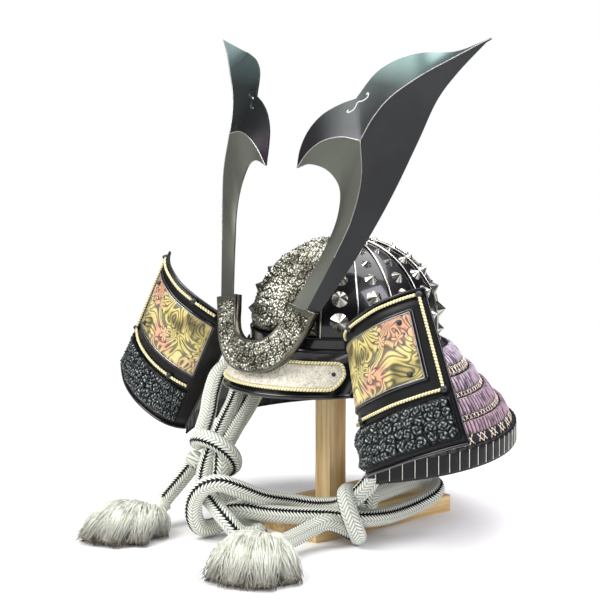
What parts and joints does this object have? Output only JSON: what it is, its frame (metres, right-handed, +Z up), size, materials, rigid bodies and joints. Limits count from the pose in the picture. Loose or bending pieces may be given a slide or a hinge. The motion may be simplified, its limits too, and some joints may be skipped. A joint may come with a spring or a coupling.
{
  "type": "kabuto samurai helmet on wooden stand",
  "caption": "Studded helmet bowl with flared neck guard, side wings, peak, forked horn crest and tied cords, resting over a plain wooden post stand",
  "frame": {"origin": "on the underside of the stand's plank, below the middle of the post", "axes": "+Z up, the front of the helmet faces -Y, the wearer's left is +X"},
  "size_m": [0.572, 0.4729, 0.535],
  "materials": {
    "wood": "bare planed softwood",
    "lacquer": "black lacquer, polished",
    "silver": "antique silver plating over casting",
    "leather": "pebbled leather",
    "print_leather": "printed leather",
    "gunmetal": "satin gunmetal",
    "beading": "twisted gilt cord",
    "oxidised": "oxidised casting",
    "lacing": "flat silk lacing braid",
    "cord": "herringbone silk braid"
  },
  "bodies": {
    "root": {"stand_base": "wood", "stand_post": "wood", "bowl": "lacquer", "front_plate": "silver", "bowl_band": "lacquer", "visor": "lacquer", "visor_leather": "leather", "crest_bracket": "lacquer", "crest_holder": "silver", "horn_left": "gunmetal", "horn_right": "gunmetal", "wing_plate_left": "lacquer", "wing_plate_right": "lacquer", "wing_leather_left": "print_leather", "wing_leather_right": "print_leather", "wing_frame_left": "lacquer", "wing_frame_right": "lacquer", "wing_beading_left": "beading", "wing_beading_right": "beading", "wing_carving_left": "oxidised", "wing_carving_right": "oxidised", "neck_lame_1": "lacquer", "neck_lame_2": "lacquer", "neck_lame_3": "lacquer", "neck_lame_4": "lacquer", "neck_lame_5": "lacquer", "neck_lacing_1": "lacing", "neck_lacing_2": "lacing", "neck_lacing_3": "lacing", "neck_lacing_4": "lacing", "cord_anchor_left": "lacquer", "cord_left": "cord", "cord_collar_left": "cord", "tassel_left": "cord", "cord_anchor_right": "lacquer", "cord_right": "cord", "cord_collar_right": "cord", "tassel_right": "cord"}
  },
  "joints": []
}
